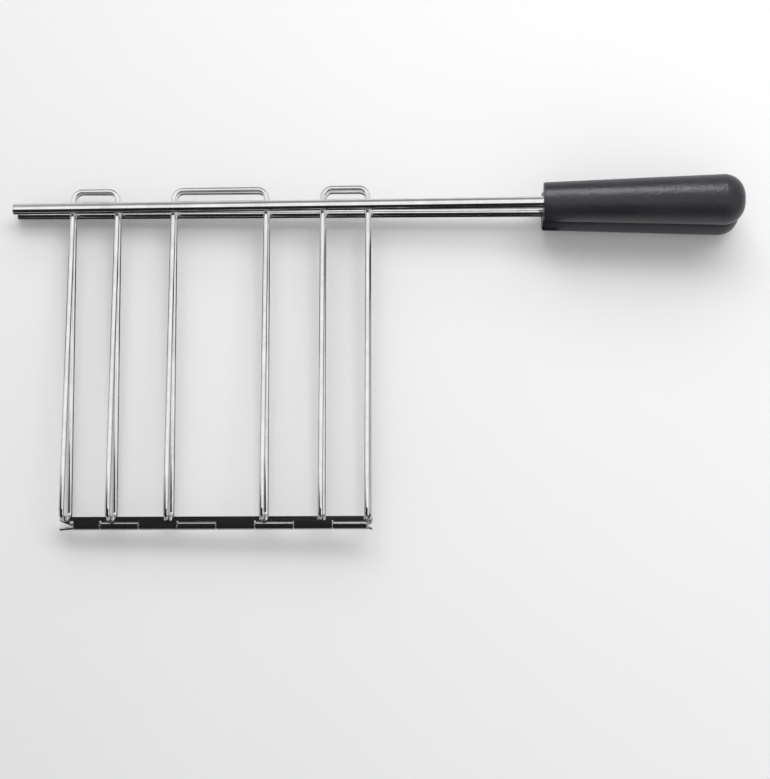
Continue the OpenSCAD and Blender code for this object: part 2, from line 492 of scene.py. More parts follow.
@dataclass(frozen=True)
class DrawnSteel:
    """Bright drawn steel: fine lines along the draw, faint cloudiness and a few duller patches."""

    name: str
    line_scale: tuple[float, float, float]
    bright: Colour = (0.80, 0.80, 0.79)
    dull: Colour = (0.66, 0.66, 0.655)
    gloss: float = 0.06
    haze: float = 0.13
    line_depth: float = 0.0000012
    cloud_scale: float = 90.0

    def build(self) -> bpy.types.Material:
        """Make the material."""
        recipe = Recipe(self.name)
        recipe.set(Metallic=1.0)
        lines = recipe.grain(self.line_scale, detail=4.0, rough=0.6)
        clouds = recipe.grain((self.cloud_scale,) * 3, detail=5.0, rough=0.6)
        tint = recipe.ranged(clouds, 0.35, 0.68, 0.0, 1.0)
        recipe.link(recipe.blend(tint, self.bright, self.dull), recipe.shader.inputs["Base Color"])
        shine = recipe.ranged(lines, 0.3, 0.7, self.gloss, self.haze)
        recipe.link(shine, recipe.shader.inputs["Roughness"])
        recipe.bump([(lines, self.line_depth)])
        return recipe.material


@dataclass(frozen=True)
class RolledSheet:
    """Rolled hinge strip: lines along the hinge, small dents from the rolling tool and dull spots."""

    name: str = "rolled_hinge_sheet"
    bright: Colour = (0.56, 0.555, 0.545)
    dull: Colour = (0.40, 0.395, 0.385)
    gloss: float = 0.05
    haze: float = 0.10

    def build(self) -> bpy.types.Material:
        """Make the material."""
        recipe = Recipe(self.name)
        recipe.set(Metallic=1.0)
        lines = recipe.grain((60.0, 2600.0, 2600.0), detail=4.0, rough=0.6)
        dents = recipe.grain((260.0, 420.0, 420.0), detail=2.0, rough=0.5)
        spots = recipe.grain((700.0, 700.0, 700.0), detail=4.0, rough=0.65)
        worn = recipe.ranged(spots, 0.5, 0.72, 0.0, 1.0)
        recipe.link(recipe.blend(worn, self.bright, self.dull), recipe.shader.inputs["Base Color"])
        shine = recipe.ranged(lines, 0.3, 0.7, self.gloss, self.haze)
        recipe.link(shine, recipe.shader.inputs["Roughness"])
        recipe.bump([(dents, 0.000006), (lines, 0.000001)])
        return recipe.material


@dataclass(frozen=True)
class WeldSkin:
    """Resistance weld: bright squeezed metal with ripples and a faint warm heat tint."""

    name: str = "resistance_weld"
    bright: Colour = (0.78, 0.77, 0.75)
    tinted: Colour = (0.55, 0.51, 0.46)

    def build(self) -> bpy.types.Material:
        """Make the material."""
        recipe = Recipe(self.name)
        recipe.set(Metallic=1.0)
        ripples = recipe.grain((1300.0, 1300.0, 1300.0), detail=3.0, rough=0.5)
        heat = recipe.grain((500.0, 500.0, 500.0), detail=2.0, rough=0.5)
        share = recipe.ranged(heat, 0.45, 0.75, 0.0, 1.0)
        recipe.link(recipe.blend(share, self.bright, self.tinted), recipe.shader.inputs["Base Color"])
        recipe.link(recipe.ranged(ripples, 0.3, 0.7, 0.16, 0.34), recipe.shader.inputs["Roughness"])
        recipe.bump([(ripples, 0.00004)])
        return recipe.material


@dataclass(frozen=True)
class MouldedPlastic:
    """Satin black plastic: fine eroded grain, faint flow clouds and handling sheen."""

    name: str = "moulded_grip_plastic"
    deep: Colour = (0.0145, 0.0137, 0.0186)
    pale: Colour = (0.0245, 0.0232, 0.0305)
    sheen: float = 0.34
    gloss: float = 0.29
    haze: float = 0.40
    grain_size: float = 0.00035
    grain_depth: float = 0.000030
    speck_depth: float = 0.00018

    def build(self) -> bpy.types.Material:
        """Make the material."""
        recipe = Recipe(self.name)
        recipe.set(Metallic=0.0, IOR=1.5, Specular_IOR_Level=self.sheen)
        fine = recipe.grain((1 / self.grain_size,) * 3, detail=3.0, rough=0.6)
        flow = recipe.grain((35.0, 140.0, 140.0), detail=4.0, rough=0.55)
        specks = recipe.grain((520.0, 520.0, 520.0), detail=3.0, rough=0.5)
        share = recipe.ranged(flow, 0.32, 0.7, 0.0, 1.0)
        recipe.link(recipe.blend(share, self.deep, self.pale), recipe.shader.inputs["Base Color"])
        recipe.link(recipe.ranged(flow, 0.3, 0.7, self.gloss, self.haze), recipe.shader.inputs["Roughness"])
        recipe.bump([(fine, self.grain_depth), (specks, self.speck_depth)])
        return recipe.material


@dataclass(frozen=True)
class PaleTable:
    """Matt white tabletop with a hardly visible mottle, and painted light that makes it a little paler towards one
    side.
    """

    name: str = "pale_table"
    dim: Colour = (0.780, 0.780, 0.790)
    light: Colour = (0.960, 0.960, 0.962)
    # Painted light: slope along which the table's colour grows more white, standing in for brighter light on that
    # side.
    painted_light_slope: tuple[float, float, float] = (1.4, -0.2, 0.0)
    middle: float = 0.45
    mottle: float = 0.10

    def build(self) -> bpy.types.Material:
        """Make the material."""
        recipe = Recipe(self.name)
        recipe.set(Roughness=0.9, Specular_IOR_Level=0.0)
        # Painted light: the base colour grows more white along a fixed slope across the table, standing in for light
        # that falls brighter there.
        painted_light_ramp = recipe.node("ShaderNodeVectorMath", operation="DOT_PRODUCT")
        painted_light_ramp.inputs[1].default_value = self.painted_light_slope
        recipe.link(recipe.place((1.0, 1.0, 1.0)), painted_light_ramp.inputs[0])
        spots = recipe.ranged(
            recipe.grain((14.0, 14.0, 14.0), detail=2.0, rough=0.5),
            0.0, 1.0, self.middle - self.mottle / 2, self.middle + self.mottle / 2,
        )
        share = recipe.node("ShaderNodeMath", operation="ADD", use_clamp=True)
        recipe.link(painted_light_ramp.outputs["Value"], share.inputs[0])
        recipe.link(spots, share.inputs[1])
        recipe.link(recipe.blend(share.outputs[0], self.dim, self.light), recipe.shader.inputs["Base Color"])
        return recipe.material


def fit_out(piece: bpy.types.Object, finish: bpy.types.Material, side: Side, slot: str, *nodes: str) -> None:
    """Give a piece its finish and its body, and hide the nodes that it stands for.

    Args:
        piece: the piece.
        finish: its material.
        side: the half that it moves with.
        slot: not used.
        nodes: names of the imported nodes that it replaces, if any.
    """
    piece.data.materials.append(finish)
    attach(piece, side.body)
    if nodes:
        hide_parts(*nodes)
    LOG.info("%s: %d faces, on %s", piece.name, len(piece.data.polygons), side.body)


@dataclass
class WireLoop:
    """One bent wire: two feet on the leaf, two legs, a top bar past the rod, and its two rod welds."""

    layout: Layout
    side: Side
    place: Place
    sides: int = 28
    bend_steps: int = 14
    bead_half: tuple[float, float, float] = (2.25, 1.85, 0.85)
    bead_drop: float = 0.95
    bead_rough: float = 0.16
    bead_rings: int = 14
    bead_sides: int = 28

    @property
    def half_w(self) -> float:
        """Half the distance between the legs."""
        return self.layout.loop_width(self.place) / 2

    @property
    def cross_z(self) -> float:
        """Height of the wire's centre where it crosses the rod."""
        return self.layout.rod_z(self.layout.loop_middle(self.place)) - self.layout.wire_to_rod

    @property
    def leg_span(self) -> float:
        """Distance along Y from the foot bend to the rod."""
        return self.layout.rod_h - self.layout.foot_y - self.layout.foot_bend_r

    @property
    def tilt(self) -> float:
        """Angle by which the legs rise away from the closing plane towards the hinge."""
        return math.atan((self.layout.pocket_depth / 2 + self.layout.wire_r - self.cross_z) / self.leg_span)

    @property
    def own_frame(self) -> Matrix:
        """Place of the loop: its middle on the rod is the origin and its legs lie in Z = 0."""
        start = Matrix.Translation((self.layout.loop_middle(self.place), self.layout.rod_h, self.cross_z))
        return start @ Matrix.Rotation(-self.layout.lean, 4, "Y") @ Matrix.Rotation(-self.tilt, 4, "X")

    def foot_outlines(self) -> list[tuple[float, list[tuple[float, float]]]]:
        """Outlines of the flattened foot, each with its height above the leaf.

        Returns:
            Pairs of a height and an outline, from the leaf up to the round wire.
        """
        lay = self.layout
        pad = superoval(lay.foot_w / 2, lay.foot_h / 2, 2.8, self.sides)
        wire = superoval(lay.wire_r, lay.wire_r, 2, self.sides)
        levels = [(0.0, 0.03), (0.06, 0.0), (0.55, 0.0), (0.75, 0.06), (0.88, 0.2), (0.97, 0.42)]
        levels += [(1.08, 0.66), (1.25, 0.85), (1.5, 0.96), (1.8, 1.0)]
        return [(height, mixed(pad, wire, share)) for height, share in levels]

    def half_path(self, hand: int) -> tuple[Ring, list[list[tuple[float, float]]]]:
        """Centre line of half the loop, from its foot to the middle of the top bar, in the loop's own frame.

        Args:
            hand: 1 for the leg towards the grips, and -1 for the other one.

        Returns:
            The points and an outline for each.
        """
        lay = self.layout
        r = lay.foot_bend_r
        below = (self.leg_span - r * math.sin(self.tilt)) / math.cos(self.tilt)
        above = lay.loop_rise - lay.corner_r
        x = hand * self.half_w
        out = Vector((0, -math.sin(self.tilt), math.cos(self.tilt)))
        bend_start = Vector((x, -below, -r)) + Vector((0, -r * math.cos(self.tilt), -r * math.sin(self.tilt)))
        foot_end = self.own_frame @ bend_start
        run = (foot_end.z - lay.barrel_r) / math.cos(self.lean_of_foot())
        foot = bend_start - out * run
        points = []
        outlines = []
        for height, outline in self.foot_outlines():
            points.append(foot + out * height)
            outlines.append(outline)
        wire = outlines[-1]
        turn = math.pi / 2 + self.tilt
        spoke = bend_start - Vector((x, -below, -r))
        points += arc(Vector((x, -below, -r)), spoke, Vector((-1, 0, 0)), turn, self.bend_steps)
        corner = Vector((x - hand * lay.corner_r, above, 0))
        points += arc(corner, Vector((hand * lay.corner_r, 0, 0)), Vector((0, 0, hand)), math.pi / 2, self.bend_steps)
        outlines += [wire] * (len(points) - len(outlines))
        return points, outlines

    def lean_of_foot(self) -> float:
        """Angle between a foot's run and the leaf's normal."""
        return self.layout.lean

    def wire(self) -> bpy.types.Object:
        """Build the bent wire with its two feet.

        Returns:
            The wire.
        """
        first, first_outlines = self.half_path(-1)
        second, second_outlines = self.half_path(1)
        path = [self.own_frame @ p for p in first + second[::-1]]
        rings = sweep(path, first_outlines + second_outlines[::-1], Vector((1, 0, 0)))
        draft = MeshDraft()
        draft.add_tube(rings)
        return draft.to_object(f"{self.side.word}_{self.place.word}_loop", self.side, self.layout)

    def beads(self) -> bpy.types.Object:
        """Build the squeezed metal of the two resistance welds between the wire and the rod.

        Returns:
            Both beads as one piece.
        """
        draft = MeshDraft()
        a, b, c = self.bead_half
        for hand in (-1, 1):
            centre = Vector((hand * self.half_w, 0, self.bead_drop))
            rings = []
            for k in range(1, self.bead_rings):
                polar = math.pi * k / self.bead_rings
                ring = []
                for u, v in superoval(a * math.sin(polar), b * math.sin(polar), 2.4, self.bead_sides):
                    spot = self.own_frame @ (centre + Vector((u, v, -c * math.cos(polar))))
                    swell = 1 + self.bead_rough * noise.noise(spot * 0.9)
                    ring.append(self.own_frame @ (centre + Vector((u, v, -c * math.cos(polar))) * swell))
                rings.append(ring)
            draft.add_tube(rings)
        return draft.to_object(f"{self.side.word}_{self.place.word}_welds", self.side, self.layout, 80.0)

    def build(self, wire_finish: bpy.types.Material, weld_finish: bpy.types.Material) -> None:
        """Build and dress the wire and its welds.

        Args:
            wire_finish: finish of the wire.
            weld_finish: finish of the welds.
        """
        node = f"{self.side.word}_{self.place.word}_wire"
        fit_out(self.wire(), wire_finish, self.side, "cage_wire", node)
        fit_out(self.beads(), weld_finish, self.side, "cage_wire")


@dataclass
class Rod:
    """Long round rod with a dressed free end, whose other end is in the grip."""

    layout: Layout
    side: Side
    sides: int = 72
    edge_r: float = 0.45
    edge_steps: int = 6
    length_steps: int = 24

    def build(self, finish: bpy.types.Material) -> None:
        """Build and dress the rod.

        Args:
            finish: finish of the rod.
        """
        lay = self.layout
        start, end = lay.free_end_x, lay.root_x + lay.socket_len
        stations = [(start, lay.rod_r - self.edge_r - 0.6)]
        for k in range(self.edge_steps + 1):
            turn = math.pi / 2 * k / self.edge_steps
            stations.append((
                start + self.edge_r * (1 - math.sin(turn)),
                lay.rod_r - self.edge_r * (1 - math.cos(turn)),
            ))
        stations[1:] = sorted(stations[1:])
        for k in range(1, self.length_steps + 1):
            stations.append((start + self.edge_r + (end - start - self.edge_r) * k / self.length_steps, lay.rod_r))
        path = [lay.along_rod @ Vector((x, 0, 0)) for x, _ in stations]
        along = (path[-1] - path[0]).normalized()
        across = Vector((0, 1, 0))
        rings = []
        for centre, (_, r) in zip(path, stations):
            rings.append([
                centre + across * a + along.cross(across) * b for a, b in superoval(r, r, 2, self.sides)
            ])
        draft = MeshDraft()
        draft.add_tube(rings)
        piece = draft.to_object(f"{self.side.word}_bar", self.side, lay)
        fit_out(piece, finish, self.side, "rod_steel", f"{self.side.word}_rod")


@dataclass
class Grip:
    """Moulded grip: a round taper with a blunt nose, flat where it meets the other grip."""

    layout: Layout
    side: Side
    sides: int = 192
    root_edge_r: float = 0.5
    flat_edge_r: float = 0.9
    hole_play: float = 0.06
    hole_depth: float = 3.0
    flank_steps: int = 26
    nose_steps: int = 30

    def stations(self) -> list[tuple[float, float]]:
        """Distance from the root and radius of each ring, from inside the rod's hole to the nose.

        Returns:
            The pairs in order.
        """
        lay = self.layout
        hole_r = lay.rod_r + self.hole_play
        root_r, end_r, nose_r = lay.grip_root_d / 2, lay.grip_end_d / 2, lay.grip_nose_r
        pairs = [(self.hole_depth, hole_r), (0.25, hole_r), (0.07, hole_r + 0.06), (0.0, hole_r + 0.2)]
        pairs += [(0.0, hole_r + (root_r - self.root_edge_r - hole_r) * s) for s in (0.35, 0.7)]
        for k in range(7):
            turn = math.pi / 2 * k / 6
            pairs.append((
                self.root_edge_r * (1 - math.cos(turn)),
                root_r - self.root_edge_r * (1 - math.sin(turn)),
            ))
        nose = Vector((end_r - nose_r, lay.grip_len - nose_r))
        flank = nose - Vector((root_r, 0))
        turn = math.atan2(flank.y, flank.x) - math.asin(nose_r / flank.length)
        flank_end = nose + nose_r * Vector((math.sin(turn), -math.cos(turn)))
        start = Vector((root_r, self.root_edge_r))
        for k in range(1, self.flank_steps):
            spot = start + (flank_end - start) * k / self.flank_steps
            pairs.append((spot.y, spot.x))
        first = math.atan2(flank_end.y - nose.y, flank_end.x - nose.x)
        for k in range(self.nose_steps + 1):
            angle = first + (math.pi / 2 - first) * k / self.nose_steps
            pairs.append((nose.y + nose_r * math.sin(angle), nose.x + nose_r * math.cos(angle)))
        return pairs

    def ring(self, x: float, r: float) -> Ring:
        """Cross-section of the grip.

        Args:
            x: distance from the root along the rod.
            r: radius of the round part there.

        Returns:
            The ring, cut flat towards the other grip with rounded edges.
        """
        lay = self.layout
        height = lay.first_z + (lay.root_x + x) * math.sin(lay.lean) - lay.grip_gap / 2
        flat = height / math.cos(lay.lean)
        ring = []
        for k in range(self.sides):
            turn = 2 * math.pi * k / self.sides
            c, s = math.cos(turn), math.sin(turn)
            reach = r
            if c < -0.05 and r > flat - self.flat_edge_r:
                reach = smooth_min(r, flat / -c, self.flat_edge_r)
            ring.append(lay.along_rod @ Vector((lay.root_x + x, reach * s, reach * c)))
        return ring

    def build(self, finish: bpy.types.Material) -> bpy.types.Object:
        """Build and dress the grip.

        Args:
            finish: finish of the grip.

        Returns:
            The grip.
        """
        draft = MeshDraft()
        draft.add_tube([self.ring(x, r) for x, r in self.stations()])
        piece = draft.to_object(f"{self.side.word}_handle", self.side, self.layout)
        fit_out(piece, finish, self.side, "grip_plastic", f"{self.side.word}_grip")
        return piece


@dataclass
class HingeLeaf:
    """Hinge leaf: a straight strip whose tabs are rolled round the pin, with a crimped end."""

    layout: Layout
    side: Side
    roll_steps: int = 26
    shoulder_steps: int = 8
    roll_end: float = 0.3
    column_w: float = 4.0
    edge_r: float = 0.09
    prong_sides: int = 24

    @property
    def is_upper(self) -> bool:
        """Whether this is the upper half's leaf, which has the first knuckle and the long crimp."""
        return self.side is Side.UPPER

    def tabs(self) -> list[tuple[float, float]]:
        """Start and end of each knuckle of this leaf along the hinge.

        Returns:
            The pairs in order.
        """
        lay = self.layout
        pitch = lay.hinge_len / lay.knuckles
        spans = []
        for k in range(0 if self.is_upper else 1, lay.knuckles, 2):
            low = k * pitch + (lay.left_crimp_len if k == 0 else lay.knuckle_gap / 2)
            high = (k + 1) * pitch - (lay.right_crimp_len if k == lay.knuckles - 1 else lay.knuckle_gap / 2)
            spans.append((low, high))
        return spans

    def sheet_line(self) -> tuple[list[tuple[Vector, Vector]], int]:
        """Middle line of the sheet, with its outward normals.

        It runs from the free edge down to the pin, round it, straight on past it on the far side, and
        then over a shoulder until it points back at the strip.

        Returns:
            Pairs of a point and a normal in the YZ plane, and how many of them lie in the straight strip.
        """
        lay = self.layout
        mid_r = lay.barrel_r - lay.leaf_t / 2
        flat_len = lay.barrel_r - lay.shoulder_r
        corner = min(lay.leaf_corner, lay.leaf_h - lay.strip_y)
        strip = [lay.leaf_h, lay.strip_y + corner, lay.strip_y + corner / 2, lay.strip_y]
        line = [(Vector((0, y, mid_r)), Vector((0, 0, 1))) for y in strip]
        line.append((Vector((0, lay.strip_y / 2, mid_r)), Vector((0, 0, 1))))
        for k in range(self.roll_steps + 1):
            turn = math.pi * k / self.roll_steps
            normal = Vector((0, -math.sin(turn), math.cos(turn)))
            line.append((normal * mid_r, normal))
        for k in range(self.shoulder_steps + 1):
            turn = math.pi / 2 * k / self.shoulder_steps
            normal = Vector((0, math.sin(turn), -math.cos(turn)))
            line.append((Vector((0, flat_len, -flat_len)) + normal * (lay.shoulder_r - lay.leaf_t / 2), normal))
        line.append((Vector((0, mid_r, self.roll_end)), Vector((0, 1, 0))))
        return line, len(strip)

    def sheet(self) -> MeshDraft:
        """Build the strip with its rolled tabs as one closed skin.

        Returns:
            The draft.
        """
        lay = self.layout
        line, strip_rows = self.sheet_line()
        tabs = self.tabs()
        stops = sorted({0.0, lay.hinge_len, *(x for tab in tabs for x in tab)})
        columns = [0.0]
        for low, high in zip(stops, stops[1:]):
            pieces = max(1, round((high - low) / self.column_w))
            columns += [low + (high - low) * k / pieces for k in range(1, pieces + 1)]

        def rolled(i: int) -> bool:
            """Whether the column's cells belong to a tab."""
            middle = (columns[i] + columns[i + 1]) / 2
            return any(low < middle < high for low, high in tabs)

        def present(i: int, j: int) -> bool:
            """Whether the sheet covers a cell."""
            inside = 0 <= i < len(columns) - 1 and 0 <= j < len(line) - 1
            return inside and (j < strip_rows - 1 or rolled(i))

        draft = MeshDraft()
        made: dict[tuple[int, int, int], int] = {}

        def corner(i: int, j: int, face: int) -> int:
            """Index of a point of the sheet's outer (1) or inner (-1) face."""
            if (i, j, face) not in made:
                spot, normal = line[j]
                x = columns[i]
                cut = max(0.0, lay.leaf_corner - (spot.y - lay.strip_y)) if j < strip_rows else 0.0
                if i == 0 and not rolled(0):
                    x += cut
                if i == len(columns) - 1 and not rolled(i - 1):
                    x -= cut
                where = Vector((x, spot.y, spot.z)) + normal * (face * lay.leaf_t / 2)
                made[i, j, face] = draft.add_points([where])[0]
            return made[i, j, face]

        for i in range(len(columns) - 1):
            for j in range(len(line) - 1):
                if not present(i, j):
                    continue
                around = [(i, j), (i + 1, j), (i + 1, j + 1), (i, j + 1)]
                draft.faces.append(tuple(corner(*c, 1) for c in around))
                draft.faces.append(tuple(corner(*c, -1) for c in reversed(around)))
                beyond = [(i, j - 1), (i + 1, j), (i, j + 1), (i - 1, j)]
                for k, cell in enumerate(beyond):
                    if not present(*cell):
                        one, other = around[k], around[(k + 1) % 4]
                        draft.faces.append((corner(*other, 1), corner(*one, 1), corner(*one, -1), corner(*other, -1)))
        return draft

    def prong(self, draft: MeshDraft, start: float, end: float, root_y: float, tip_y: float) -> None:
        """Add one splayed prong of a crimped end.

        Args:
            draft: the draft to add to.
            start: place of the pinched neck along the hinge.
            end: place of the tip.
            root_y: height of the prong's middle at the neck.
            tip_y: height of its middle at the tip.
        """
        lay = self.layout
        neck_half = lay.neck_half_h / 2
        run = end - start
        stations = [(-0.12, 0.7), (0.0, 1.0), (0.25, 1.0), (0.5, 1.0), (0.75, 1.0)]
        stations += [(0.93, 1.0), (0.985, 0.9), (1.0, 0.7)]
        path = []
        outlines = []
        for share, scale in stations:
            ease = min(max(share, 0.0), 1.0)
            half_w = (neck_half + (lay.prong_w / 2 - neck_half) * ease) * scale
            half_t = (lay.crimp_t + (lay.prong_t - lay.crimp_t) * ease) / 2 * scale
            path.append(Vector((start + run * share, root_y + (tip_y - root_y) * ease, 0)))
            outlines.append(superoval(half_w, half_t, 3.2, self.prong_sides))
        rings = []
        for centre, outline in zip(path, outlines):
            rings.append([centre + Vector((0, a, b)) for a, b in outline])
        draft.add_tube(rings)

    def crimp(self, edge: float, outward: int, reach: float, up: float, down: float) -> MeshDraft:
        """Build a crimped barrel end: pinched flat over the pin, then split into two prongs.

        Args:
            edge: place along the hinge where the round barrel ends.
            outward: 1 if the crimp points to greater X, and -1 if it points the other way.
            reach: length of the crimp.
            up: height of the raised prong's edge above the pin axis.
            down: depth of the lowered prong's edge below the pin axis.

        Returns:
            The draft.
        """
        lay = self.layout
        neck_half = lay.neck_half_h
        draft = MeshDraft()
        rings = []
        for share in (-0.15, 0.0, 0.2, 0.4, 0.6, 0.8, 1.0, 1.25):
            ease = min(max(share, 0.0), 1.0)
            ease = ease * ease * (3 - 2 * ease)
            inner = 0.96 if share < 0 or share > 1 else 1.0
            half_y = (lay.barrel_r + (neck_half - lay.barrel_r) * ease) * inner
            half_z = (lay.barrel_r + (lay.crimp_t / 2 - lay.barrel_r) * ease) * inner
            x = edge + outward * lay.crimp_neck * share
            outline = superoval(half_y, half_z, 2 + 0.8 * ease, 48)
            rings.append([Vector((x, a, b)) for a, b in outline])
        draft.add_tube(rings)
        neck_x = edge + outward * lay.crimp_neck
        tip_x = edge + outward * reach
        self.prong(draft, neck_x, tip_x, neck_half / 2, up - lay.prong_w / 2)
        self.prong(draft, neck_x, tip_x, -neck_half / 2, lay.prong_w / 2 - down)
        return draft

    def build(self, finish: bpy.types.Material) -> None:
        """Build and dress the leaf and its crimped end.

        Args:
            finish: finish of the sheet.
        """
        lay = self.layout
        word = self.side.word
        leaf = self.sheet().to_object(f"{word}_hinge_leaf", self.side, lay)
        soften(leaf, self.edge_r)
        fit_out(leaf, finish, self.side, "hinge_sheet", f"{word}_leaf")
        if self.is_upper:
            reach = lay.left_crimp_len + lay.left_prong_out
            draft = self.crimp(lay.left_crimp_len, -1, reach, lay.left_prong_up, lay.left_prong_down)
        else:
            spread = lay.right_prong_spread
            reach = lay.right_crimp_len + lay.right_prong_out
            draft = self.crimp(lay.hinge_len - lay.right_crimp_len, 1, reach, spread, spread)
        fit_out(draft.to_object(f"{word}_crimp", self.side, lay), finish, self.side, "hinge_sheet")


def soften(piece: bpy.types.Object, radius: float) -> None:
    """Round the sharp edges of a piece.

    Args:
        piece: the piece.
        radius: radius in millimetres.
    """
    bevel = piece.modifiers.new("rounded_edges", "BEVEL")
    bevel.width = radius * MM
    bevel.segments = 3
    bevel.limit_method = "ANGLE"
    bevel.angle_limit = math.radians(50)
    bevel.harden_normals = True


@dataclass(frozen=True)
class Card:
    """Glowing or dark sheet that hangs in the room and that only reflections see."""

    name: str
    level: float
    corners: tuple[tuple[float, float, float], ...]

    def build(self) -> None:
        """Hang the card, whose corners come in pairs along its length."""
        count = len(self.corners) // 2 - 1
        faces = [(2 * k, 2 * k + 1, 2 * k + 3, 2 * k + 2) for k in range(count)]
        mesh = bpy.data.meshes.new(self.name)
        mesh.from_pydata(self.corners, [], faces)
        card = bpy.data.objects.new(self.name, mesh)
        bpy.context.scene.collection.objects.link(card)
        cloth = Recipe(f"{self.name}_cloth")
        cloth.set(Roughness=1.0, Specular_IOR_Level=0.0, Emission_Strength=1.0)
        cloth.set(Base_Color=(0.0, 0.0, 0.0, 1), Emission_Color=(self.level,) * 3 + (1,))
        card.data.materials.append(cloth.material)
        card.visible_camera = False
        card.visible_diffuse = False
        card.visible_shadow = False
        card.visible_transmission = False


@dataclass(frozen=True)
class Lamp:
    """Soft lamp that looks at the origin and lights only the things that it is given."""

    name: str
    place: tuple[float, float, float]
    size: tuple[float, float]
    power: float

    def build(self, lit: Sequence[bpy.types.Object]) -> None:
        """Hang the lamp.

        Args:
            lit: the matt things that it lights; the steel sees the cards in its place.
        """
        light = bpy.data.lights.new(self.name, "AREA")
        light.shape = "RECTANGLE"
        light.size, light.size_y = self.size
        light.energy = self.power
        lamp = bpy.data.objects.new(self.name, light)
        lamp.location = self.place
        lamp.rotation_euler = Vector(self.place).to_track_quat("Z", "Y").to_euler()
        lamp.visible_camera = False
        bpy.context.scene.collection.objects.link(lamp)
        receivers = bpy.data.collections.new(f"lit_by_{self.name}")
        for thing in lit:
            receivers.objects.link(thing)
        lamp.light_linking.receiver_collection = receivers


@dataclass(frozen=True)
class Studio:
    """Pale table and room, soft lamps beyond the rods, and cards for the steel's reflections, among them sheets of
    painted shade on the table.
    """

    rise_x: float = -0.0407
    rise_y: float = 0.0126
    table_r: float = 5.0
    key: Lamp = Lamp("key_light", (0.16, 0.43, 0.77), (1.0, 0.30), 3.7)
    window: Lamp = Lamp("window_light", (0.10, 0.83, 0.65), (1.2, 0.5), 2.5)
    grip_lamp: Lamp = Lamp("grip_light", (0.0, 0.72, 0.78), (0.50, 0.42), 8.4)
    fill_level: float = 0.60
    pale_level: float = 0.56
    front_level: float = 0.36
    side_level: float = 0.95
    ceiling_level: float = 1.15
    ceiling_z: float = 0.90
    ceiling_half: float = 0.90
    ceiling_near: float = -0.60
    ceiling_far: tuple[float, float] = (0.25, 1.25)
    flag_and_shade_level: float = 0.016
    flag_z: float = 0.20
    flag_x: tuple[float, float] = (-0.60, 0.15)
    flag_near: tuple[float, float] = (0.0217, -0.0661)
    flag_far: float = -0.35
    # Painted shade: dark and grey sheets on the table, seen only in reflections, stand in for the table's shade under
    # the rods, the cage and the shanks, and dark strips beside the legs for their contact shadows.
    dark_shade_x: tuple[float, float] = (-0.45, 0.080)
    shade_x: tuple[float, float] = (-0.45, 0.008)
    dark_shade_y: tuple[float, float] = (0.060, 0.005)
    shade_end: float = -0.078
    shade_level: float = 0.46
    leg_shade_w: float = 0.010
    shade_sheet_lift: float = 0.0004

    def table_low(self) -> float:
        """Height of the table's plane at the origin, where it just touches the lower half."""
        return min(
            v.co.z - self.rise_x * v.co.x - self.rise_y * v.co.y
            for name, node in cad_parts.items()
            if name.startswith("lower")
            for v in node.data.vertices
        )

    def on_table(self, x: float, y: float, lift: float = 0.0) -> tuple[float, float, float]:
        """Point on the table at x and y, or above it by a lift."""
        return (x, y, self.table_low() + self.rise_x * x + self.rise_y * y + lift)

    def table(self) -> bpy.types.Object:
        """Lay the table at the slope on which the tongs rest.

        Returns:
            The table.
        """
        sides = 96
        low = self.table_low()
        turns = [math.tau * k / sides for k in range(sides)]
        rim = [(self.table_r * math.cos(t), self.table_r * math.sin(t)) for t in turns]
        mesh = bpy.data.meshes.new("table")
        mesh.from_pydata(
            [(x, y, low + self.rise_x * x + self.rise_y * y) for x, y in rim], [], [tuple(range(sides))]
        )
        table = bpy.data.objects.new("table", mesh)
        bpy.context.scene.collection.objects.link(table)
        table.data.materials.append(PaleTable().build())
        LOG.info("table: at %.4f m under the origin", low)
        return table

    def room(self) -> None:
        """Surround the scene with a pale room, brighter to the left and right in the reflections."""
        world = bpy.data.worlds.new("pale_room")
        bpy.context.scene.world = world
        world.use_nodes = True
        tree = world.node_tree
        tree.nodes.clear()

        def add(kind: str, **values: object) -> bpy.types.ShaderNode:
            """Add a node to the world with properties or input values set."""
            made = tree.nodes.new(kind)
            for key, value in values.items():
                if hasattr(made, key):
                    setattr(made, key, value)
                else:
                    made.inputs[key.replace("_", " ")].default_value = value
            return made

        output = add("ShaderNodeOutputWorld")
        rays = add("ShaderNodeLightPath")
        where = add("ShaderNodeTexCoord")
        split = add("ShaderNodeSeparateXYZ")
        sideways = add("ShaderNodeMath", operation="ABSOLUTE")
        level = add(
            "ShaderNodeMapRange", From_Min=0.15, From_Max=0.8, To_Min=self.front_level, To_Max=self.side_level
        )
        fill = add("ShaderNodeBackground", Color=(self.fill_level,) * 3 + (1,))
        pale = add("ShaderNodeBackground", Color=(self.pale_level,) * 3 + (1,))
        mirrored = add("ShaderNodeBackground", Color=(1, 1, 1, 1))
        direct = add("ShaderNodeMath", operation="ADD", use_clamp=True)
        first = add("ShaderNodeMixShader")
        second = add("ShaderNodeMixShader")
        links = (
            (where.outputs["Generated"], split.inputs[0]),
            (split.outputs["X"], sideways.inputs[0]),
            (sideways.outputs[0], level.inputs["Value"]),
            (level.outputs["Result"], mirrored.inputs["Strength"]),
            (rays.outputs["Is Camera Ray"], direct.inputs[0]),
            (rays.outputs["Is Transmission Ray"], direct.inputs[1]),
            (direct.outputs[0], first.inputs[0]),
            (fill.outputs[0], first.inputs[1]),
            (pale.outputs[0], first.inputs[2]),
            (rays.outputs["Is Glossy Ray"], second.inputs[0]),
            (first.outputs[0], second.inputs[1]),
            (mirrored.outputs[0], second.inputs[2]),
            (second.outputs[0], output.inputs["Surface"]),
        )
        for out, into in links:
            tree.links.new(out, into)

